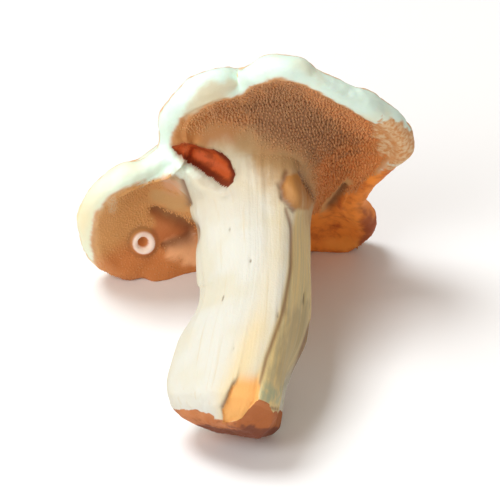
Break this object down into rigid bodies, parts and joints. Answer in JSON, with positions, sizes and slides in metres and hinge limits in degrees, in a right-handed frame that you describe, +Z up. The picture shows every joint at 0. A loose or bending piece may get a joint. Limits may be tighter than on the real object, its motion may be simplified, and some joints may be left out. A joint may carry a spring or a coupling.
{
  "type": "hedgehog mushroom",
  "caption": "Whole hedgehog mushroom lying on its side, with a wavy lobed cap, soft teeth under it and a stout trimmed stem.",
  "frame": {"origin": "under the middle of the mushroom's bounding box, on the surface it rests on", "axes": "+Z up from that surface, +Y back along the mushroom from the stem's foot to the cap, +X to the right as seen from the foot"},
  "size_m": [0.058, 0.0702, 0.0561],
  "materials": {
    "flesh": "matte"
  },
  "bodies": {
    "root": {"mushroom": "flesh"}
  },
  "joints": []
}
